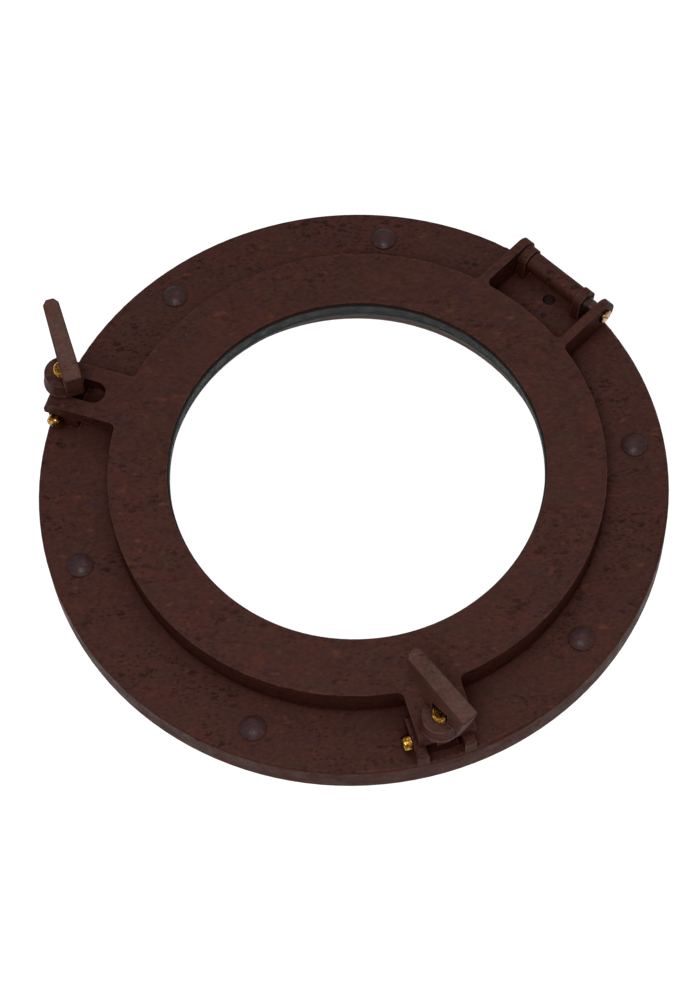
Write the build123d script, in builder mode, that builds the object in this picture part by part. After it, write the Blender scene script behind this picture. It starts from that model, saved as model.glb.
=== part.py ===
"""Opening porthole: a flanged frame, a hinged glazed sash and two swing-bolt dogs.

The frame lies on its back. The origin is the centre of the flange's back face, +Z points out of
the flange into the room, and the hinge is on the +Y side. All sizes are in millimetres.
"""
from build123d import *
from math import cos, radians, sin
import os

# Frame flange
FLANGE_R = 190.5            # outer radius, a 15 inch flange
FLANGE_T = 20.0
FLANGE_EDGE_FILLET = 2.0
OPENING_R = 121.5
OPENING_BACK_CHAMFER = 5.0
BEAD_R = 140.0              # raised sealing bead, mid radius
BEAD_W = 3.0
BEAD_H = 1.3

# Round-head bolts that hold the flange to the hull, unevenly spaced round their circle
BOLT_CIRCLE_R = 172.0
BOLT_ANGLES = (5.0, 50.6, 127.3, 174.3, 242.9, 294.3)
BOLT_R = 4.0
BOLT_NECK_R = 4.25          # neck where it fills its hole in the flange
BOLT_HOLE_R = 4.3
BOLT_HEAD_R = 7.8
BOLT_HEAD_H = 4.2
BOLT_HEAD_RIM = 0.9         # straight edge under the round crown
BOLT_REACH = 30.0           # length standing out behind the flange

# Hinge: two lugs on the frame inside two ears on the sash
HINGE_Y = 183.0
HINGE_Z = FLANGE_T + 12.0
HINGE_PIN_R = 4.0
HINGE_RUNNING_GAP = 0.06
LUG_X = 22.5                # lug mid plane each side of the centre
LUG_T = 6.0
LUG_R = 7.4
LUG_FOOT_Y = (173.5, 188.0)
BARREL_R = 6.3
BARREL_END_GAP = 0.4
HINGE_HOLE_AT = (2.5, 174.5)  # spare fixing hole through the flange under the barrel
HINGE_HOLE_R = 4.2
EAR_INNER_X = 30.0
EAR_T = 5.6
EAR_R = 8.8
EAR_ROOT_Y = 138.0
EAR_ROOT_FILLET = 4.0
SCREW_HEAD_R = 4.6
SCREW_HEAD_T = 2.0
SCREW_SHANK_R = 2.0
SCREW_SHANK_L = 9.0
SLOT_W = 1.2
SLOT_DEPTH = 1.0

# Sash: the ears are wider apart than the lugs, and it sits at one end of that play
SASH_X = EAR_INNER_X - (LUG_X + LUG_T / 2) - 0.3
SASH_R = 149.0
SASH_OPENING_R = 113.5
SASH_BOTTOM = FLANGE_T + BEAD_H + 0.3
SASH_TOP = FLANGE_T + 22.0
LIP_T = 2.5
GASKET_POCKET_R = 119.0
REBATE_R = 123.0
GLASS_R = 119.4
GLASS_BOTTOM = 27.2
GLASS_T = 6.0
FRONT_POCKET_Z = 34.0       # roof of the glass rebate
FRONT_GASKET_R = 112.3      # its edge stands a little inside the sash's opening
REAR_GASKET_R = 114.0
RING_BOTTOM = SASH_BOTTOM
RING_TOP = 25.6
RING_R = 131.0
RING_INNER_R = 117.0
RING_SCREW_R = 127.0
RING_SCREW_COUNT = 12
RING_SCREW_HEAD_R = 3.6
RING_SCREW_TIP_Z = 34.0
SEAL_INNER_R = 134.0
SEAL_OUTER_R = 146.0
SEAL_T = 5.0
FIT_GAP = 0.05              # between a piece and the pocket that holds it

# Dogs: swing bolts in clevises on the frame, over forked lugs on the sash
DOG_PIN_Z = FLANGE_T + 7.0
CLEVIS_GAP = 21.2
CHEEK_T = 7.2
CHEEK_H = 12.0
CHEEK_REACH = 13.5          # from the pin to the cheeks' inner ends
CHEEK_FILLET = 1.6
DOG_PIN_R = 3.0
DOG_PIN_HEAD_R = 4.8
DOG_PIN_HEAD_T = 5.2
WELL_DEPTH = 6.0            # cast well between the cheeks, under the eye
WELL_REACH = 9.0
WELL_OUTER_R = 184.2
FORK_W = 34.0
FORK_SLOT_W = 15.0
FORK_OVERHANG = 6.8         # how far the lug reaches past the stud
FORK_SLOT_INNER_R = 161.0
FORK_BOTTOM = FLANGE_T + CHEEK_H + 0.4
FORK_NOSE_FILLET = 6.0
EYE_R = 6.5
EYE_T = 8.0
NECK_H = 11.0               # height of the flat neck above the pin
STUD_R = 4.75
STUD_TOP = 59.0
STUD_CHAMFER = 1.2
WASHER_R = 12.2
WASHER_T = 1.5
WASHER_BOTTOM = SASH_TOP + 0.4
NUT_BOTTOM = WASHER_BOTTOM + WASHER_T + 0.2
HUB_R = 11.9
HUB_TOP_R = 10.8
HUB_H = 9.0
NUT_BORE_R = STUD_R + 0.05

# Lever of the dog nut: a bar beside the stud that climbs away from the hub
LEVER_NEAR = -19.5
LEVER_FAR = 27.0
LEVER_TIP_CHAMFER = 2.6
LEVER_INNER = -0.8          # its inner face reaches a little past the stud's axis
LEVER_W = 11.4
LEVER_TIP_W = 9.8
LEVER_UNDERCUT = 6.0        # the near end leans in towards the hub
LEVER_NEAR_TOP = 29.0
LEVER_TIP_TOP = 51.0
LEVER_TIP_BOTTOM = 43.0
LEVER_HEEL = 9.0            # where its underside leaves the hub
LEVER_FILLET = 1.4
HOLLOW_R = 6.2              # hollow in the lever's side that clears the stud
HOLLOW_TOP = 20.0

# Name, angle and radius of the pin, side of the pin's head, direction of the lever's tip
DOGS = (("left", 205.5, 184.5, 1, 150.2), ("lower", 330.5, 176.7, -1, 177.8))

os.makedirs("parts", exist_ok=True)


def save(part, name):
    """Label a finished sub-part and write it as its own STEP file."""
    part.label = name
    export_step(part, f"parts/{name}.step")


def side_plane(angle, radius, height, across=0.0):
    """Plane with x outward along a radius, y up, shifted across the radius, anticlockwise positive."""
    out = Vector(cos(radians(angle)), sin(radians(angle)), 0)
    around = Vector(-out.Y, out.X, 0)
    return Plane(origin=out * radius + around * across + Vector(0, 0, height), x_dir=out, z_dir=-around)


def hinge_plane(x):
    """Plane across the hinge axis at a place along it, x along +Y and y along +Z."""
    return Plane(origin=(x, HINGE_Y, HINGE_Z), x_dir=(0, 1, 0), z_dir=(1, 0, 0))


def sash_plane(height):
    """Level plane about the sash's own centre."""
    return Plane.XY.offset(height).shift_origin((SASH_X, 0, height))


def disc(plane, radius, depth, both=False, mode=Mode.ADD):
    """Cylinder standing on a plane."""
    with BuildSketch(plane) as outline:
        Circle(radius)
    extrude(outline.sketch, amount=depth, both=both, mode=mode)


def level_ring(inner, outer, bottom, top, plane_at, mode=Mode.ADD):
    """Flat ring between two heights."""
    with BuildSketch(plane_at(bottom)) as outline:
        Circle(outer)
        Circle(inner, mode=Mode.SUBTRACT)
    extrude(outline.sketch, amount=top - bottom, mode=mode)


def fork_end(angle, pin_r):
    """Distance from the sash's centre to the nose of a forked lug."""
    stud = Vector(pin_r * cos(radians(angle)), pin_r * sin(radians(angle)), 0)
    return (stud - Vector(SASH_X, 0, 0)).length + FORK_OVERHANG


def screw_slot(plane, head_r):
    """Screwdriver slot sunk into a head, the plane at the slot's mid depth."""
    with BuildSketch(plane) as outline:
        Rectangle(SLOT_W, 2 * head_r + 1, rotation=35)
    extrude(outline.sketch, amount=SLOT_DEPTH, both=True, mode=Mode.SUBTRACT)


# ---------------------------------------------------------------- frame casting
with BuildPart() as frame_ring:
    level_ring(OPENING_R, FLANGE_R, 0, FLANGE_T, Plane.XY.offset)
    rims = frame_ring.edges().filter_by(GeomType.CIRCLE)
    fillet(rims.group_by(Axis.Z)[-1].sort_by(SortBy.RADIUS)[-1], FLANGE_EDGE_FILLET)
    rims = frame_ring.edges().filter_by(GeomType.CIRCLE)
    chamfer(rims.group_by(Axis.Z)[0].sort_by(SortBy.RADIUS)[0], OPENING_BACK_CHAMFER)
    level_ring(BEAD_R - BEAD_W / 2, BEAD_R + BEAD_W / 2, FLANGE_T, FLANGE_T + BEAD_H, Plane.XY.offset)

    # Clevis cheeks, their outer ends flush with the flange's rim
    for dog, angle, pin_r, head_side, lever_angle in DOGS:
        with BuildSketch(Plane.XY.offset(FLANGE_T - FLANGE_EDGE_FILLET - 1)):
            with PolarLocations(0, 1, start_angle=angle):
                with Locations([(pin_r - CHEEK_REACH, s * (CLEVIS_GAP + CHEEK_T) / 2) for s in (-1, 1)]):
                    Rectangle(40, CHEEK_T, align=(Align.MIN, Align.CENTER))
            Circle(FLANGE_R - 0.3, mode=Mode.INTERSECT)
        extrude(amount=CHEEK_H + FLANGE_EDGE_FILLET + 1)
    fillet(frame_ring.edges().group_by(Axis.Z)[-1], CHEEK_FILLET)
    for dog, angle, pin_r, head_side, lever_angle in DOGS:
        disc(side_plane(angle, pin_r, DOG_PIN_Z), DOG_PIN_R + 0.02, CLEVIS_GAP, True, Mode.SUBTRACT)
        with BuildSketch(Plane.XY.offset(FLANGE_T)):
            with PolarLocations(0, 1, start_angle=angle):
                with Locations((pin_r - WELL_REACH, 0)):
                    Rectangle(40, CLEVIS_GAP, align=(Align.MIN, Align.CENTER))
            Circle(WELL_OUTER_R, mode=Mode.INTERSECT)
        extrude(amount=-WELL_DEPTH, taper=8, mode=Mode.SUBTRACT)

    # Hinge lugs
    for side in (-1, 1):
        with BuildSketch(hinge_plane(side * LUG_X)):
            with BuildLine():
                foot = FLANGE_T - 3 - HINGE_Z
                back, front = LUG_FOOT_Y[0] - HINGE_Y, LUG_FOOT_Y[1] - HINGE_Y
                Polyline((-LUG_R, 0), (back, foot), (front, foot), (LUG_R, 0))
                RadiusArc((LUG_R, 0), (-LUG_R, 0), -LUG_R)
            make_face()
        extrude(amount=LUG_T / 2, both=True)
        disc(hinge_plane(side * LUG_X), HINGE_PIN_R + HINGE_RUNNING_GAP, LUG_T, True, Mode.SUBTRACT)

    # Holes through the flange
    with BuildSketch():
        with Locations([(BOLT_CIRCLE_R * cos(radians(a)), BOLT_CIRCLE_R * sin(radians(a)))
                        for a in BOLT_ANGLES]):
            Circle(BOLT_HOLE_R)
        with Locations(HINGE_HOLE_AT):
            Circle(HINGE_HOLE_R)
    extrude(amount=FLANGE_T, mode=Mode.SUBTRACT)
save(frame_ring.part, "frame_ring")

# ---------------------------------------------------------------- hull bolts
with BuildPart() as hull_bolts:
    crown_h = BOLT_HEAD_H - BOLT_HEAD_RIM
    crown_r = (BOLT_HEAD_R ** 2 + crown_h ** 2) / (2 * crown_h)
    for angle in BOLT_ANGLES:
        stand = Vector(BOLT_CIRCLE_R * cos(radians(angle)), BOLT_CIRCLE_R * sin(radians(angle)), 0)
        with BuildSketch(Plane(origin=stand, x_dir=(1, 0, 0), z_dir=(0, -1, 0))):
            with BuildLine():
                rim, top = FLANGE_T + BOLT_HEAD_RIM, FLANGE_T + BOLT_HEAD_H
                Polyline((0, top), (0, -BOLT_REACH), (BOLT_R, -BOLT_REACH), (BOLT_R, 0), (BOLT_NECK_R, 0),
                         (BOLT_NECK_R, FLANGE_T), (BOLT_HEAD_R, FLANGE_T), (BOLT_HEAD_R, rim))
                RadiusArc((BOLT_HEAD_R, rim), (0, top), -crown_r)
            make_face()
        revolve(axis=Axis(stand, (0, 0, 1)))
save(hull_bolts.part, "hull_bolts")

# ---------------------------------------------------------------- hinge
with BuildPart() as hinge_barrel:
    length = 2 * (LUG_X - LUG_T / 2 - BARREL_END_GAP)
    disc(hinge_plane(0), BARREL_R, length / 2, True)
    fillet(hinge_barrel.edges().filter_by(GeomType.CIRCLE), 0.6)
    disc(hinge_plane(0), HINGE_PIN_R + HINGE_RUNNING_GAP, length, True, Mode.SUBTRACT)
save(hinge_barrel.part, "hinge_barrel")

EAR_OUTER_X = EAR_INNER_X + EAR_T
with BuildPart() as hinge_pin:
    disc(hinge_plane(SASH_X), HINGE_PIN_R, EAR_OUTER_X - 0.2, True)
    for side in (-1, 1):
        end = side * (EAR_OUTER_X - SCREW_SHANK_L / 2)
        disc(hinge_plane(SASH_X + end), SCREW_SHANK_R + FIT_GAP, SCREW_SHANK_L / 2 + 0.5, True, Mode.SUBTRACT)
save(hinge_pin.part, "hinge_pin")

with BuildPart() as hinge_screws:
    for side in (-1, 1):
        face = hinge_plane(SASH_X + side * EAR_OUTER_X)
        disc(face, SCREW_HEAD_R, side * SCREW_HEAD_T)
        disc(face, SCREW_SHANK_R, -side * SCREW_SHANK_L)
    rims = hinge_screws.edges().filter_by(GeomType.CIRCLE).group_by(Axis.X)
    fillet(rims[0] + rims[-1], 0.9)
    for side in (-1, 1):
        screw_slot(hinge_plane(SASH_X + side * (EAR_OUTER_X + SCREW_HEAD_T)), SCREW_HEAD_R)
save(hinge_screws.part, "hinge_screws")

# ---------------------------------------------------------------- sash casting
with BuildPart() as sash_ring:
    level_ring(SASH_OPENING_R, SASH_R, SASH_BOTTOM, SASH_TOP, sash_plane)

    # Hinge ears
    for side in (-1, 1):
        with BuildSketch(hinge_plane(SASH_X + side * (EAR_INNER_X + EAR_T / 2))):
            with BuildLine():
                root = EAR_ROOT_Y - HINGE_Y
                top, bottom = SASH_TOP - HINGE_Z, SASH_BOTTOM + 0.4 - HINGE_Z
                Polyline((0, bottom), (root, bottom), (root, top), (0, top))
                ThreePointArc((0, top), (EAR_R, 0), (0, bottom))
            make_face()
        extrude(amount=EAR_T / 2, both=True)

    # Forked dog lugs
    for dog, angle, pin_r, head_side, lever_angle in DOGS:
        with BuildSketch(sash_plane(FORK_BOTTOM)):
            with PolarLocations(0, 1, start_angle=angle):
                with Locations((SASH_R - 8, 0)):
                    Rectangle(fork_end(angle, pin_r) - SASH_R + 8, FORK_W, align=(Align.MIN, Align.CENTER))
        extrude(amount=SASH_TOP - FORK_BOTTOM)

    # Blends where ears and lugs grow out of the ring
    def off_centre(edge):
        return edge.center().sub(Vector(SASH_X, 0, edge.center().Z)).length

    upright = sash_ring.edges().filter_by(Axis.Z)
    fillet(upright.filter_by(lambda edge: abs(off_centre(edge) - SASH_R) < 0.5), EAR_ROOT_FILLET)

    # Rounded noses of the lugs, then their slots
    noses = []
    for dog, angle, pin_r, head_side, lever_angle in DOGS:
        out = Vector(cos(radians(angle)), sin(radians(angle)), 0)
        nose = Vector(SASH_X, 0, SASH_TOP) + out * fork_end(angle, pin_r)
        noses.append(sash_ring.edges().sort_by_distance(nose)[0])
    fillet(noses, FORK_NOSE_FILLET)
    for dog, angle, pin_r, head_side, lever_angle in DOGS:
        with BuildSketch(sash_plane(FORK_BOTTOM - 1)):
            with PolarLocations(0, 1, start_angle=angle):
                with Locations((FORK_SLOT_INNER_R + FORK_SLOT_W / 2, 0)):
                    Circle(FORK_SLOT_W / 2)
                    Rectangle(40, FORK_SLOT_W, align=(Align.MIN, Align.CENTER))
        extrude(amount=SASH_TOP, mode=Mode.SUBTRACT)

    # Pockets for the glass, its gaskets, the retaining ring and the seal
    level_ring(0.01, GASKET_POCKET_R, 0, SASH_TOP - LIP_T, sash_plane, Mode.SUBTRACT)
    level_ring(0.01, REBATE_R, 0, FRONT_POCKET_Z, sash_plane, Mode.SUBTRACT)
    level_ring(0.01, RING_R + 0.2, 0, RING_TOP, sash_plane, Mode.SUBTRACT)
    level_ring(SEAL_INNER_R, SEAL_OUTER_R, 0, SASH_BOTTOM + SEAL_T, sash_plane, Mode.SUBTRACT)

    # Bores for the hinge pin and the retaining ring's screws
    disc(hinge_plane(SASH_X), HINGE_PIN_R + 0.02, EAR_OUTER_X + 1, True, Mode.SUBTRACT)
    with BuildSketch(sash_plane(RING_TOP)):
        with PolarLocations(RING_SCREW_R, RING_SCREW_COUNT):
            Circle(SCREW_SHANK_R + FIT_GAP)
    extrude(amount=RING_SCREW_TIP_Z - RING_TOP + 0.5, mode=Mode.SUBTRACT)
save(sash_ring.part, "sash_ring")

# ---------------------------------------------------------------- glazing
with BuildPart() as glass_pane:
    disc(sash_plane(GLASS_BOTTOM), GLASS_R, GLASS_T)
    chamfer(glass_pane.edges(), 0.5)
save(glass_pane.part, "glass_pane")

GLASS_TOP = GLASS_BOTTOM + GLASS_T
with BuildPart() as front_gasket:
    top, step = SASH_TOP - LIP_T - FIT_GAP, FRONT_POCKET_Z - FIT_GAP
    level_ring(FRONT_GASKET_R, GASKET_POCKET_R - FIT_GAP, GLASS_TOP + FIT_GAP, top, sash_plane)
    level_ring(FRONT_GASKET_R, REBATE_R - FIT_GAP, GLASS_TOP + FIT_GAP, step, sash_plane)
save(front_gasket.part, "front_gasket")

with BuildPart() as rear_gasket:
    level_ring(REAR_GASKET_R, REBATE_R - FIT_GAP, RING_TOP + FIT_GAP, GLASS_TOP, sash_plane)
    top = GLASS_TOP + 1
    level_ring(REAR_GASKET_R - 1, GLASS_R + FIT_GAP, GLASS_BOTTOM - FIT_GAP, top, sash_plane, Mode.SUBTRACT)
save(rear_gasket.part, "rear_gasket")

with BuildPart() as retaining_ring:
    level_ring(RING_INNER_R, RING_R, RING_BOTTOM, RING_TOP, sash_plane)
    with BuildSketch(sash_plane(RING_BOTTOM)):
        with PolarLocations(RING_SCREW_R, RING_SCREW_COUNT):
            Circle(SCREW_SHANK_R + 0.2)
    extrude(amount=RING_TOP - RING_BOTTOM, mode=Mode.SUBTRACT)
    with BuildSketch(sash_plane(RING_BOTTOM)):
        with PolarLocations(RING_SCREW_R, RING_SCREW_COUNT):
            Circle(RING_SCREW_HEAD_R + FIT_GAP)
    extrude(amount=RING_SCREW_HEAD_R - SCREW_SHANK_R, taper=45, mode=Mode.SUBTRACT)
save(retaining_ring.part, "retaining_ring")

with BuildPart() as retaining_screws:
    cone_h = RING_SCREW_HEAD_R - SCREW_SHANK_R
    with BuildSketch(sash_plane(RING_BOTTOM)):
        with PolarLocations(RING_SCREW_R, RING_SCREW_COUNT):
            Circle(RING_SCREW_HEAD_R)
    extrude(amount=cone_h, taper=45)
    with BuildSketch(sash_plane(RING_BOTTOM + cone_h / 2)):
        with PolarLocations(RING_SCREW_R, RING_SCREW_COUNT):
            Circle(SCREW_SHANK_R)
    extrude(amount=RING_SCREW_TIP_Z - RING_BOTTOM - cone_h / 2)
    with BuildSketch(sash_plane(RING_BOTTOM)):
        with PolarLocations(RING_SCREW_R, RING_SCREW_COUNT):
            Rectangle(2 * RING_SCREW_HEAD_R + 1, SLOT_W)
    extrude(amount=SLOT_DEPTH, mode=Mode.SUBTRACT)
save(retaining_screws.part, "retaining_screws")

with BuildPart() as sash_seal:
    level_ring(SEAL_INNER_R + FIT_GAP, SEAL_OUTER_R - FIT_GAP, SASH_BOTTOM, SASH_BOTTOM + SEAL_T - FIT_GAP,
               sash_plane)
save(sash_seal.part, "sash_seal")


# ---------------------------------------------------------------- dogs
def dog_pin(angle, pin_r, head_side):
    """Slotted pin screwed through both cheeks, its head outside one of them."""
    outer = CLEVIS_GAP / 2 + CHEEK_T
    middle = side_plane(angle, pin_r, DOG_PIN_Z)
    face = side_plane(angle, pin_r, DOG_PIN_Z, head_side * (outer + DOG_PIN_HEAD_T))
    with BuildPart() as pin:
        disc(middle, DOG_PIN_R, outer, True)
        disc(face, DOG_PIN_HEAD_R, head_side * DOG_PIN_HEAD_T)
        rims = pin.edges().filter_by(GeomType.CIRCLE)
        fillet(rims.filter_by(lambda e: face.contains(e.arc_center)), 1.5)
        screw_slot(face, DOG_PIN_HEAD_R)
    return pin.part


def stud_plane(angle, pin_r, height, turn=0.0):
    """Level plane about a stud's axis, its x direction turned to face an angle."""
    return Plane(origin=(pin_r * cos(radians(angle)), pin_r * sin(radians(angle)), height),
                 x_dir=(cos(radians(turn)), sin(radians(turn)), 0), z_dir=(0, 0, 1))


def swing_bolt(angle, pin_r):
    """Threaded stud with a flattened eye that turns on the dog pin."""
    middle = side_plane(angle, pin_r, DOG_PIN_Z)
    with BuildPart() as bolt:
        disc(middle, EYE_R, EYE_T / 2, True)
        with BuildSketch(middle):
            Rectangle(2 * STUD_R, NECK_H + 1, align=(Align.CENTER, Align.MIN))
        extrude(amount=EYE_T / 2, both=True)
        disc(stud_plane(angle, pin_r, DOG_PIN_Z + NECK_H), STUD_R, STUD_TOP - DOG_PIN_Z - NECK_H)
        chamfer(bolt.edges().group_by(Axis.Z)[-1], STUD_CHAMFER)
        disc(middle, DOG_PIN_R + HINGE_RUNNING_GAP, EYE_T, True, Mode.SUBTRACT)
    return bolt.part


def dog_washer(angle, pin_r):
    """Plain washer between the nut and the forked lug."""
    with BuildPart() as washer:
        disc(stud_plane(angle, pin_r, WASHER_BOTTOM), WASHER_R, WASHER_T)
        disc(stud_plane(angle, pin_r, WASHER_BOTTOM), STUD_R + 0.1, WASHER_T, mode=Mode.SUBTRACT)
    return washer.part


def dog_nut(angle, pin_r, lever_angle):
    """Round hub with a rising lever cast to one side of the stud."""
    base = stud_plane(angle, pin_r, NUT_BOTTOM, lever_angle)
    right = Vector(sin(radians(lever_angle)), -cos(radians(lever_angle)), 0)
    with BuildPart() as nut:
        # Lever blade, seen from the side, then tapered in plan
        with BuildSketch(Plane(origin=base.origin, x_dir=base.x_dir, z_dir=right)):
            Polygon((LEVER_NEAR + LEVER_UNDERCUT, 0.5), (LEVER_NEAR, LEVER_NEAR_TOP),
                    (LEVER_FAR, LEVER_TIP_TOP), (LEVER_FAR, LEVER_TIP_BOTTOM), (LEVER_HEEL, 0.5), align=None)
        extrude(amount=LEVER_W, both=True)
        with BuildSketch(base):
            inner, outer = -LEVER_INNER, -LEVER_INNER - LEVER_W
            tip_outer, shoulder = inner - LEVER_TIP_W, LEVER_FAR - LEVER_TIP_CHAMFER
            Polygon((LEVER_NEAR, inner), (LEVER_NEAR, outer), (shoulder, tip_outer),
                    (LEVER_FAR, tip_outer + LEVER_TIP_CHAMFER), (LEVER_FAR, inner - LEVER_TIP_CHAMFER),
                    (shoulder, inner), align=None)
        extrude(amount=LEVER_TIP_TOP + 5, mode=Mode.INTERSECT)
        fillet(nut.edges(), LEVER_FILLET)
        disc(base, HOLLOW_R, HOLLOW_TOP, mode=Mode.SUBTRACT)
        with BuildSketch(base):
            Circle(HUB_R)
        with BuildSketch(base.offset(HUB_H)):
            Circle(HUB_TOP_R)
        loft()
        disc(base, NUT_BORE_R, HUB_H, mode=Mode.SUBTRACT)
    return nut.part


for dog, angle, pin_r, head_side, lever_angle in DOGS:
    save(dog_pin(angle, pin_r, head_side), f"{dog}_dog_pin")
    save(swing_bolt(angle, pin_r), f"{dog}_swing_bolt")
    save(dog_washer(angle, pin_r), f"{dog}_dog_washer")
    save(dog_nut(angle, pin_r, lever_angle), f"{dog}_dog_nut")
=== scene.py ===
import math

import bmesh
import bpy
from mathutils import Matrix, Vector


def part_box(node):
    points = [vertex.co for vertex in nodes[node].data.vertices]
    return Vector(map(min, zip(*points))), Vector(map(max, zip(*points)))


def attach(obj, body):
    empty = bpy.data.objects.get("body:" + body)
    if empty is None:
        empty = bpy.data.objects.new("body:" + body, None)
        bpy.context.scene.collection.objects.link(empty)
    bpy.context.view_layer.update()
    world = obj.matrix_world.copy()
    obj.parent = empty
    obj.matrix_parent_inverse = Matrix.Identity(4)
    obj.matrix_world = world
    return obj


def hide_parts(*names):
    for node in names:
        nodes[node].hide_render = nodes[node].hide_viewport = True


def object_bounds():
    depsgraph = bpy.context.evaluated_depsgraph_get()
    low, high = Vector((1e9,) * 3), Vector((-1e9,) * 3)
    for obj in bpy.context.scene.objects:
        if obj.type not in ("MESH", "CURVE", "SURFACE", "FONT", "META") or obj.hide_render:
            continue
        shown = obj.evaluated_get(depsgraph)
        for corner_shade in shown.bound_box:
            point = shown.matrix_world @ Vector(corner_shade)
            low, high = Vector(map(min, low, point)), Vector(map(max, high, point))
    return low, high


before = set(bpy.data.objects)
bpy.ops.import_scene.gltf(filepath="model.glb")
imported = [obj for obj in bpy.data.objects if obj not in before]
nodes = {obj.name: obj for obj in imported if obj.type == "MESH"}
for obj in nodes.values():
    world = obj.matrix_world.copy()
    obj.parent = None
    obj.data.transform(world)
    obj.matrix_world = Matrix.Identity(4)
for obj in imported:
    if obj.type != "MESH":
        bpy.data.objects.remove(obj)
cad_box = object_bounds()

# Camera: steeply above, across from the hinge and off to one side, rolled a little
FLANGE_TOP = 0.020
CAMERA_TARGET = Vector((0.0090, -0.0117, FLANGE_TOP))
CAMERA_DISTANCE = 1.6135
CAMERA_AZIMUTH = math.radians(47.4)
CAMERA_ELEVATION = math.radians(62.75)
CAMERA_ROLL = math.radians(-3.94)
CAMERA_LENS = 96.5

# The lacquer was wiped on in one direction, and its mottling is drawn out along it
WIPE_ANGLE = math.radians(47.4)
WIPE_STRETCH = 1.8

# Reaches and depths of the lacquer's effects, in metres
# How far the painted shade in corners and in pockets reaches
CORNER_REACH = 0.004
POCKET_REACH = 0.025
# Width of the rubbed edges, which also carry a painted highlight
RUB_AND_HIGHLIGHT_WIDTH = 0.0011
CASTING_RELIEF = 0.0006
PINHOLE_DEPTH = 0.0005


# ---------------------------------------------------------------- shader helpers
class Shader:
    """A material with a Principled shader, and short calls for the nodes that feed it."""

    def __init__(self, name, metallic=0.0, specular=0.5):
        self.material = bpy.data.materials.new(name)
        self.material.use_nodes = True
        self.nodes = self.material.node_tree.nodes
        self.links = self.material.node_tree.links
        self.surface = self.nodes["Principled BSDF"]
        self.surface.inputs["Metallic"].default_value = metallic
        self.surface.inputs["Specular IOR Level"].default_value = specular
        coordinates = self.nodes.new("ShaderNodeTexCoord")
        self.place = coordinates.outputs["Object"]
        self.facing = coordinates.outputs["Normal"]

    def feed(self, socket, value):
        """Link a socket, or set its value."""
        if isinstance(value, bpy.types.NodeSocket):
            self.links.new(value, socket)
        else:
            socket.default_value = value

    def stretched(self, turn, length, shift):
        """Object coordinates in which a pattern is drawn out along a direction in plan."""
        mapping = self.nodes.new("ShaderNodeMapping")
        mapping.vector_type = "TEXTURE"
        self.links.new(self.place, mapping.inputs["Vector"])
        mapping.inputs["Location"].default_value = (shift, shift / 2, -shift)
        mapping.inputs["Rotation"].default_value = (0, 0, turn)
        mapping.inputs["Scale"].default_value = (length, 1, 1)
        return mapping.outputs["Vector"]

    def noise(self, scale, detail, roughness, seed, at=None):
        """Fractal noise around 0.5, with scale patches to the metre."""
        node = self.nodes.new("ShaderNodeTexNoise")
        node.noise_dimensions = "4D"
        self.links.new(at or self.place, node.inputs["Vector"])
        node.inputs["W"].default_value = seed
        node.inputs["Scale"].default_value = scale
        node.inputs["Detail"].default_value = detail
        node.inputs["Roughness"].default_value = roughness
        return node.outputs["Fac"]

    def cells(self, scale, at):
        """Distance, in cells, to the nearest of scattered points, with scale cells to the metre."""
        node = self.nodes.new("ShaderNodeTexVoronoi")
        self.links.new(at, node.inputs["Vector"])
        node.inputs["Scale"].default_value = scale
        return node.outputs["Distance"]

    def fade(self, value, low, high, start=0.0, end=1.0):
        """Map low..high to start..end, clamped and smoothed."""
        node = self.nodes.new("ShaderNodeMapRange")
        node.interpolation_type = "SMOOTHSTEP"
        self.feed(node.inputs["Value"], value)
        for name, number in (("From Min", low), ("From Max", high), ("To Min", start), ("To Max", end)):
            node.inputs[name].default_value = number
        return node.outputs["Result"]

    def maths(self, operation, first, second=0.0):
        node = self.nodes.new("ShaderNodeMath")
        node.operation = operation
        self.feed(node.inputs[0], first)
        self.feed(node.inputs[1], second)
        return node.outputs["Value"]

    def blend(self, amount, first, second, mode="MIX"):
        """Mix two colours."""
        node = self.nodes.new("ShaderNodeMix")
        node.data_type = "RGBA"
        node.blend_type = mode
        self.feed(node.inputs[0], amount)
        self.feed(node.inputs[6], first)
        self.feed(node.inputs[7], second)
        return node.outputs[2]

    def edges(self, radius):
        """1 on convex and concave edges, 0 on flats: how far a rounded normal leans from the true one."""
        bevel = self.nodes.new("ShaderNodeBevel")
        bevel.samples = 4
        bevel.inputs["Radius"].default_value = radius
        geometry = self.nodes.new("ShaderNodeNewGeometry")
        dot = self.nodes.new("ShaderNodeVectorMath")
        dot.operation = "DOT_PRODUCT"
        self.links.new(bevel.outputs["Normal"], dot.inputs[0])
        self.links.new(geometry.outputs["Normal"], dot.inputs[1])
        return self.fade(self.maths("SUBTRACT", 1.0, dot.outputs["Value"]), 0.02, 0.25)

    def hollows(self, distance):
        """1 in the open, towards 0 in corners and pockets."""
        node = self.nodes.new("ShaderNodeAmbientOcclusion")
        node.samples = 6
        node.inputs["Distance"].default_value = distance
        return node.outputs["AO"]

    def upright(self):
        """1 on walls, 0 on faces that lie flat."""
        split = self.nodes.new("ShaderNodeSeparateXYZ")
        self.links.new(self.facing, split.inputs["Vector"])
        return self.fade(self.maths("ABSOLUTE", split.outputs["Z"]), 0.35, 0.85, 1.0, 0.0)

    def bump(self, height, depth, strength):
        """Add relief, depth in metres, over any already there."""
        node = self.nodes.new("ShaderNodeBump")
        node.inputs["Strength"].default_value = strength
        node.inputs["Distance"].default_value = depth
        self.feed(node.inputs["Height"], height)
        before = self.surface.inputs["Normal"]
        if before.is_linked:
            self.links.new(before.links[0].from_socket, node.inputs["Normal"])
        self.links.new(node.outputs["Normal"], before)

    def colour(self, value):
        self.feed(self.surface.inputs["Base Color"], value)

    def roughness(self, value):
        self.feed(self.surface.inputs["Roughness"], value)


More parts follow.
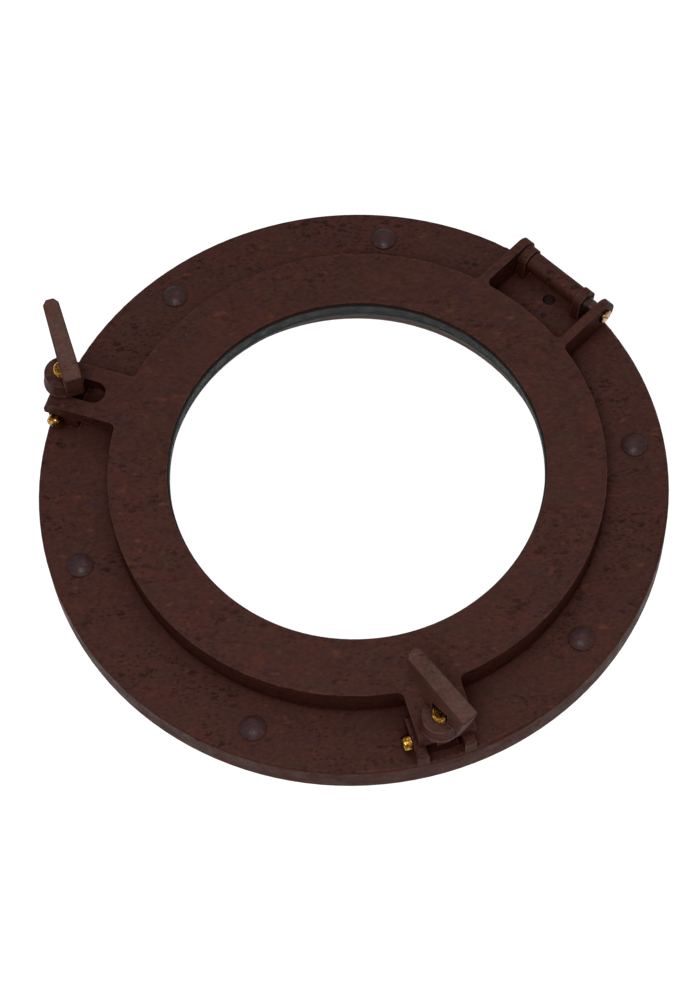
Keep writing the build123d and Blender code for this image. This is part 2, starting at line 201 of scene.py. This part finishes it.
def rgb(red, green, blue):
    """Linear colour from 0..255 display values."""
    return tuple((c / 255 / 12.92) if c <= 10 else ((c / 255 + 0.055) / 1.055) ** 2.4
                 for c in (red, green, blue)) + (1.0,)


# ---------------------------------------------------------------- materials
WHITE = (1.0, 1.0, 1.0, 1.0)
RUST_BROWN = rgb(68, 42, 37)
RUST_RED = rgb(78, 43, 36)
RUST_OLIVE = rgb(65, 47, 37)
RUST_PLUM = rgb(64, 42, 45)
RUST_ORANGE = rgb(118, 68, 46)
# Pale plum on edges: partly rubbed paint, partly a painted highlight
RUBBED_HIGHLIT_PLUM = rgb(128, 100, 98)
HANDLED = rgb(94, 70, 63)
BLUED = rgb(55, 45, 51)
# Painted shade: upright faces are multiplied by these to darken them, the darker one for the sash and the
# dog nuts
WALL_PAINTED_SHADE = rgb(232, 200, 178)
DARKER_WALL_PAINTED_SHADE = rgb(206, 180, 168)
SOOT = rgb(27, 17, 16)
# Painted shade in corners and pockets
PAINTED_SHADE_RED = rgb(40, 14, 10)
BRASS = rgb(214, 160, 68)
BRASS_TARNISH = rgb(96, 56, 22)
BRASS_CORNER_DARK = rgb(40, 19, 8)
STEEL = rgb(96, 74, 66)
STEEL_STAIN = rgb(50, 28, 24)
RUBBER = rgb(17, 17, 18)
RUBBER_BLOOM = rgb(38, 37, 36)
GLASS_TINT = rgb(232, 242, 238)
FLOOR_GREY = rgb(118, 118, 118)
FLOOR_PALE_GREY = rgb(124, 124, 124)
FLOOR_GLOW = 0.97            # the floor is lit from below, like a light table


def mottled_rust(s, brushed, seed, tint, embers):
    """Rust brown in soft patches of red, olive, plum and the tint, with small embers of orange."""
    red = s.fade(s.noise(90, 5, 0.65, at=brushed, seed=seed), 0.40, 0.64)
    colour = s.blend(red, RUST_BROWN, RUST_RED)
    olive = s.fade(s.noise(75, 4, 0.65, at=brushed, seed=seed + 3), 0.50, 0.68, 0.0, 0.75)
    colour = s.blend(olive, colour, RUST_OLIVE)
    plum = s.fade(s.noise(110, 4, 0.65, at=brushed, seed=seed + 7), 0.54, 0.70)
    colour = s.blend(plum, colour, RUST_PLUM)
    tinted = s.fade(s.noise(70, 4, 0.6, at=brushed, seed=seed + 37), 0.30, 0.62, 0.15, 0.65)
    colour = s.blend(tinted, colour, tint)
    warm = s.fade(s.noise(210, 3, 0.5, at=brushed, seed=seed + 11), 0.62 - 0.1 * embers, 0.76, 0.0, embers)
    colour = s.blend(warm, colour, RUST_ORANGE)
    grain = s.fade(s.noise(560, 3, 0.6, at=brushed, seed=seed + 5), 0.35, 0.65, 0.0, 0.25)
    return s.blend(grain, colour, RUST_PLUM, "MULTIPLY")


def pinholes(s, brushed, seed):
    """1 in pinholes. They come in drifts: scattered points, kept only where a broad noise is high."""
    drift = s.fade(s.noise(34, 4, 0.65, at=brushed, seed=seed + 13), 0.44, 0.58, 0.10, 1.0)
    ragged = s.maths("MULTIPLY", s.maths("SUBTRACT", s.noise(620, 3, 0.6, seed=seed + 17), 0.5), 0.9)
    large = s.fade(s.maths("ADD", s.cells(210, brushed), ragged), 0.33, 0.25)
    kept = s.fade(s.noise(150, 2, 0.5, at=brushed, seed=seed + 18), 0.47, 0.53)
    large = s.maths("MULTIPLY", s.maths("MULTIPLY", large, drift), kept)
    small = s.fade(s.maths("ADD", s.cells(430, brushed), ragged), 0.30, 0.22)
    small = s.maths("MULTIPLY", small, s.fade(drift, 0.0, 1.0, 0.15, 0.7))
    return s.maths("MAXIMUM", large, small)


def painted_shade_wear_and_highlight(s, colour, seed, walls, rub_and_highlight):
    """Painted shade: walls are darkened, and corners and pockets turn dark red. Edges are rubbed to orange
    and plum, partly real wear and partly a painted highlight.
    """
    # Painted shade on walls
    colour = s.blend(s.upright(), colour, walls, "MULTIPLY")
    # Painted shade in corners and pockets, darker the closer other surfaces stand
    corner_shade = s.fade(s.hollows(CORNER_REACH), 0.35, 0.85, 0.95, 0.0)
    colour = s.blend(corner_shade, colour, PAINTED_SHADE_RED)
    pocket_shade = s.fade(s.hollows(POCKET_REACH), 0.35, 0.62, 0.85, 0.0)
    colour = s.blend(pocket_shade, colour, PAINTED_SHADE_RED)
    # Edges: rubbed to orange, which is wear, and to pale plum, which is partly a painted highlight
    bare_and_highlit = s.blend(s.fade(s.noise(60, 3, 0.6, seed=seed + 31), 0.44, 0.56), RUST_ORANGE, RUBBED_HIGHLIT_PLUM)
    patches = s.fade(s.noise(140, 4, 0.65, seed=seed + 19), 0.38, 0.58)
    rubbed_and_highlit = s.maths("MULTIPLY", s.edges(RUB_AND_HIGHLIGHT_WIDTH), patches)
    return s.blend(s.maths("MULTIPLY", rubbed_and_highlit, 0.55 * rub_and_highlight), colour, bare_and_highlit)


def rust_lacquer(name, seed, pits=0.7, rub_and_highlight=1.0, embers=0.35, sheen=0.035, rough=(0.42, 0.62),
                 tint=RUST_BROWN, walls=WALL_PAINTED_SHADE):
    """Mottled rust-brown lacquer on a rough casting, with dark pinholes, rubbed edges that also carry a
    painted highlight, and painted shade on walls, in corners and in pockets.
    """
    s = Shader(name, specular=sheen)
    brushed = s.stretched(WIPE_ANGLE, WIPE_STRETCH, seed)
    holes = pinholes(s, brushed, seed)
    colour = mottled_rust(s, brushed, seed, tint, embers)
    colour = s.blend(s.maths("MULTIPLY", holes, 0.9 * pits), colour, SOOT)
    s.colour(painted_shade_wear_and_highlight(s, colour, seed, walls, rub_and_highlight))
    s.roughness(s.fade(s.noise(90, 4, 0.6, seed=seed + 23), 0.3, 0.7, *rough))
    s.bump(s.noise(240, 6, 0.65, seed=seed + 29), CASTING_RELIEF, 0.5)
    s.bump(s.maths("MULTIPLY", holes, -1.0), PINHOLE_DEPTH * pits, 0.8)
    return s.material


def turned_brass(name, seed):
    """Bright turned brass, a little tarnished, darker in its corners."""
    s = Shader(name, metallic=1.0)
    tarnish = s.fade(s.noise(800, 4, 0.65, seed=seed), 0.36, 0.62)
    colour = s.blend(tarnish, BRASS, BRASS_TARNISH)
    corner_dark = s.fade(s.hollows(0.002), 0.40, 0.95, 0.95, 0.0)
    s.colour(s.blend(corner_dark, colour, BRASS_CORNER_DARK))
    s.roughness(s.fade(s.noise(500, 3, 0.6, seed=seed + 5), 0.3, 0.7, 0.14, 0.30))
    s.bump(s.noise(1400, 3, 0.6, seed=seed + 7), 0.00004, 0.4)
    return s.material


def dull_steel(name, seed):
    """Old turned steel under brown staining."""
    s = Shader(name, metallic=0.7)
    stain = s.fade(s.noise(180, 4, 0.6, seed=seed), 0.34, 0.58)
    s.colour(s.blend(stain, STEEL, STEEL_STAIN))
    s.roughness(s.fade(s.noise(300, 3, 0.6, seed=seed + 5), 0.3, 0.7, 0.3, 0.55))
    s.bump(s.noise(700, 3, 0.6, seed=seed + 7), 0.0001, 0.3)
    return s.material


def black_rubber(name, seed):
    """Matt black rubber with a dusty bloom."""
    s = Shader(name, specular=0.35)
    bloom = s.fade(s.noise(60, 5, 0.65, seed=seed), 0.45, 0.75)
    s.colour(s.blend(bloom, RUBBER, RUBBER_BLOOM))
    s.roughness(s.fade(s.noise(140, 4, 0.6, seed=seed + 3), 0.3, 0.7, 0.55, 0.8))
    s.bump(s.noise(900, 3, 0.5, seed=seed + 5), 0.00015, 0.4)
    return s.material


def clear_glass(name):
    """Clean plate glass: see-through, with reflections that grow towards grazing angles."""
    s = Shader(name)
    s.colour(GLASS_TINT)
    facing = s.nodes.new("ShaderNodeLayerWeight")
    facing.inputs["Blend"].default_value = 0.35
    smear = s.fade(s.noise(14, 4, 0.6, seed=3.0), 0.45, 0.75, 0.0, 0.02)
    reflecting = s.fade(facing.outputs["Fresnel"], 0.1, 1.0, 0.02, 0.8)
    s.feed(s.surface.inputs["Alpha"], s.maths("ADD", reflecting, smear))
    s.roughness(s.fade(s.noise(30, 3, 0.5, seed=9.0), 0.4, 0.7, 0.01, 0.06))
    return s.material


def pale_floor(name):
    """Plain white studio floor: pale grey that also glows."""
    s = Shader(name, specular=0.1)
    s.colour(s.blend(s.noise(3, 2, 0.5, seed=1.0), FLOOR_GREY, FLOOR_PALE_GREY))
    s.roughness(0.8)
    s.surface.inputs["Emission Color"].default_value = WHITE
    s.surface.inputs["Emission Strength"].default_value = FLOOR_GLOW
    return s.material


# One finish for each CAD node, and bolt_eye for the eyes that are made below
FINISHES = {
    "frame_ring": rust_lacquer("frame_lacquer", 1.0),
    # The sash's walls, and the dog nuts' sides below, take the darker painted shade
    "sash_ring": rust_lacquer("sash_lacquer", 5.0, pits=0.55, rub_and_highlight=0.6, walls=DARKER_WALL_PAINTED_SHADE),
    "retaining_ring": rust_lacquer("retaining_ring_lacquer", 9.0),
    "hinge_barrel": rust_lacquer("barrel_lacquer", 12.0),
    "hull_bolts": rust_lacquer("bolt_head_lacquer", 15.0, pits=0.3, sheen=0.12, rough=(0.26, 0.36),
                               tint=BLUED),
    "left_dog_nut": rust_lacquer("dog_nut_lacquer", 18.0, pits=0.5, rub_and_highlight=1.7, embers=0.7, tint=HANDLED,
                                 walls=DARKER_WALL_PAINTED_SHADE),
    "left_dog_washer": rust_lacquer("washer_lacquer", 21.0, rub_and_highlight=1.7),
    "left_dog_pin": turned_brass("pin_brass", 2.0),
    "left_swing_bolt": turned_brass("stud_brass", 4.0),
    "bolt_eye": rust_lacquer("bolt_eye_lacquer", 24.0, pits=0.5),
    "hinge_screws": turned_brass("hinge_screw_brass", 6.0),
    "retaining_screws": turned_brass("retaining_screw_brass", 8.0),
    "hinge_pin": dull_steel("hinge_pin_steel", 3.0),
    "glass_pane": clear_glass("plate_glass"),
    "front_gasket": black_rubber("glazing_rubber", 1.0),
    "sash_seal": black_rubber("seal_rubber", 2.0),
}
SAME_FINISH = {"rear_gasket": "front_gasket"}
for part in ("dog_nut", "dog_washer", "dog_pin", "swing_bolt"):
    SAME_FINISH["lower_" + part] = "left_" + part
for name, piece in nodes.items():
    finish = FINISHES[SAME_FINISH.get(name, name)]
    for slot in piece.material_slots:
        slot.material = finish


# ---------------------------------------------------------------- threads
SIDES = 28                  # facets round a thread
STEPS = 6                   # rows of facets in one pitch
SHARP = math.radians(35)    # edges that turn by more than this stay sharp
WELD = 1e-7                 # points closer than this are one
LEVEL = 1e-5                # heights closer than this are the same

TIP_REACH = 0.02            # more than a stud's width, less than the space between two bolts
NECK_TOP = 0.039            # height of the flat neck under a dog's stud
STUD_SINK = 0.0008          # how far a stud's foot is sunk into its neck
STUD_PITCH = 0.0015
STUD_THREAD_DEPTH = 0.00055
STUD_CHAMFER = 0.0010

HULL_BOLT_R = 0.004
HULL_BOLT_TOP = 0.0004      # the threads end just inside the flange, whose back is at height 0
HULL_BOLT_PITCH = 0.00125
HULL_BOLT_THREAD_DEPTH = 0.0005
HULL_BOLT_CHAMFER = 0.0008


def finish_mesh(bm, name, body, finish, stands_for=None):
    """Turn a bmesh into a piece that rides on a body, smooth but for its sharp edges."""
    bmesh.ops.remove_doubles(bm, verts=bm.verts, dist=WELD)
    for face in bm.faces:
        face.smooth = True
    for edge in bm.edges:
        edge.smooth = len(edge.link_faces) == 2 and edge.calc_face_angle(0.0) < SHARP
    mesh = bpy.data.meshes.new(name)
    bm.to_mesh(mesh)
    bm.free()
    mesh.materials.append(finish)
    piece = bpy.data.objects.new(name, mesh)
    bpy.context.scene.collection.objects.link(piece)
    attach(piece, body)
    if stands_for:
        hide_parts(stands_for)


def add_thread(bm, centre, bottom, top, radius, pitch, depth, chamfer):
    """Upright rod with a helical thread, closed and chamfered at both ends."""
    rows = round((top - bottom) / pitch * STEPS)
    rings = []
    for row in range(rows + 1):
        z = bottom + (top - bottom) * row / rows
        limit = radius - max(0.0, chamfer - min(top - z, z - bottom))
        ring = []
        for side in range(SIDES):
            turn = side / SIDES
            groove = 1 - abs(2 * (((z - bottom) / pitch - turn) % 1.0) - 1)
            r = min(limit, radius - depth * groove)
            a = 2 * math.pi * turn
            ring.append(bm.verts.new((centre[0] + r * math.cos(a), centre[1] + r * math.sin(a), z)))
        rings.append(ring)
    for low, high in zip(rings, rings[1:]):
        for k in range(SIDES):
            n = (k + 1) % SIDES
            bm.faces.new((low[k], low[n], high[n], high[k]))
    bm.faces.new(rings[0][::-1])
    bm.faces.new(rings[-1])


def cad_faces(node, keep):
    """A new bmesh with those of a node's faces whose centre passes a test."""
    bm = bmesh.new()
    bm.from_mesh(nodes[node].data)
    bmesh.ops.remove_doubles(bm, verts=bm.verts, dist=WELD)
    doomed = [face for face in bm.faces if not keep(face.calc_center_median())]
    bmesh.ops.delete(bm, geom=doomed, context="FACES")
    return bm


def tip_centres(node, height):
    """Middles of the groups of a node's points that lie at one height, one group for each tip."""
    groups = []
    for vert in nodes[node].data.vertices:
        if abs(vert.co.z - height) < LEVEL:
            near = [group for group in groups if (group[0] - vert.co).length < TIP_REACH]
            if near:
                near[0].append(vert.co)
            else:
                groups.append([vert.co])
    return [sum(group, Vector()) / len(group) for group in groups]


def add_threaded_studs():
    """Each swing bolt becomes a lacquered eye and a brass threaded stud."""
    for dog in ("left", "lower"):
        node = f"{dog}_swing_bolt"
        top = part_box(node)[1][2]
        centre = tip_centres(node, top)[0]
        radius = max((vert.co - centre).xy.length for vert in nodes[node].data.vertices
                     if vert.co.z > NECK_TOP + LEVEL)
        eye = cad_faces(node, lambda at: at.z < NECK_TOP + LEVEL)
        finish_mesh(eye, f"{dog}_bolt_eye", f"{dog}_bolt", FINISHES["bolt_eye"], node)
        stud = bmesh.new()
        add_thread(stud, centre, NECK_TOP - STUD_SINK, top, radius,
                   STUD_PITCH, STUD_THREAD_DEPTH, STUD_CHAMFER)
        finish_mesh(stud, f"{dog}_stud", f"{dog}_bolt", FINISHES["left_swing_bolt"])


def add_hull_bolts():
    """Round heads from the CAD, on threaded shanks."""
    bolts = cad_faces("hull_bolts", lambda at: at.z > -LEVEL)
    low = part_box("hull_bolts")[0][2]
    for centre in tip_centres("hull_bolts", low):
        add_thread(bolts, centre, low, HULL_BOLT_TOP, HULL_BOLT_R,
                   HULL_BOLT_PITCH, HULL_BOLT_THREAD_DEPTH, HULL_BOLT_CHAMFER)
    finish_mesh(bolts, "hull_bolt_set", "frame", FINISHES["hull_bolts"], "hull_bolts")


add_threaded_studs()
add_hull_bolts()


# ---------------------------------------------------------------- floor, light and camera
FLOOR_REACH = 8.0           # from the middle of the floor to each side
FLOOR_GAP = 0.0005          # between the floor and the tips of the bolts
HORIZON_LIGHT = 0.18
OVERHEAD_LIGHT = 0.48
OVERHEAD_FROM = 0.9         # from this height on the unit sphere, the surround is at its brightest


def add_floor():
    """Large pale floor just under the tips of the bolts."""
    mesh = bpy.data.meshes.new("floor")
    bm = bmesh.new()
    bmesh.ops.create_grid(bm, x_segments=4, y_segments=4, size=FLOOR_REACH)
    bm.to_mesh(mesh)
    bm.free()
    floor = bpy.data.objects.new("floor", mesh)
    floor.location.z = cad_box[0][2] - FLOOR_GAP
    mesh.materials.append(pale_floor("pale_floor"))
    bpy.context.scene.collection.objects.link(floor)


def add_surround():
    """White surround that darkens towards the horizon."""
    world = bpy.data.worlds.new("studio")
    world.use_nodes = True
    tree = world.node_tree
    place = tree.nodes.new("ShaderNodeTexCoord")
    split = tree.nodes.new("ShaderNodeSeparateXYZ")
    tree.links.new(place.outputs["Generated"], split.inputs["Vector"])
    rise = tree.nodes.new("ShaderNodeMapRange")
    rise.interpolation_type = "SMOOTHSTEP"
    rise.inputs["From Max"].default_value = OVERHEAD_FROM
    rise.inputs["To Min"].default_value = HORIZON_LIGHT
    rise.inputs["To Max"].default_value = OVERHEAD_LIGHT
    tree.links.new(split.outputs["Z"], rise.inputs["Value"])
    background = tree.nodes["Background"]
    background.inputs["Color"].default_value = WHITE
    tree.links.new(rise.outputs["Result"], background.inputs["Strength"])
    bpy.context.scene.world = world


def add_area_light(name, azimuth, elevation, distance, size, power):
    """Square soft light that faces the middle of the flange."""
    light = bpy.data.lights.new(name, "AREA")
    light.size = size
    light.energy = power
    lamp = bpy.data.objects.new(name, light)
    a, e = math.radians(azimuth), math.radians(elevation)
    lamp.location = Vector((math.cos(a) * math.cos(e), math.sin(a) * math.cos(e), math.sin(e))) * distance
    lamp.rotation_euler = (-lamp.location).to_track_quat("-Z", "Y").to_euler()
    bpy.context.scene.collection.objects.link(lamp)


def add_lights():
    """Broad soft light from the camera's side, and a weak one from the hinge's."""
    add_area_light("key_light", azimuth=310, elevation=62, distance=1.7, size=0.6, power=16.5)
    add_area_light("fill_light", azimuth=120, elevation=60, distance=1.8, size=0.7, power=2.5)


def add_camera():
    """Long-lens camera that looks steeply down on the flange."""
    camera = bpy.data.cameras.new("camera")
    camera.lens = CAMERA_LENS
    camera.sensor_width = 36.0
    camera.sensor_fit = "AUTO"
    holder = bpy.data.objects.new("camera", camera)
    orbit = Matrix.Rotation(CAMERA_AZIMUTH, 4, "Z") @ Matrix.Rotation(math.pi / 2 - CAMERA_ELEVATION, 4, "X")
    back = Matrix.Translation((0, 0, CAMERA_DISTANCE)) @ Matrix.Rotation(CAMERA_ROLL, 4, "Z")
    holder.matrix_world = Matrix.Translation(CAMERA_TARGET) @ orbit @ back
    bpy.context.scene.collection.objects.link(holder)
    bpy.context.scene.camera = holder


add_floor()
add_surround()
add_lights()
add_camera()
bpy.context.scene.view_settings.view_transform = "Standard"
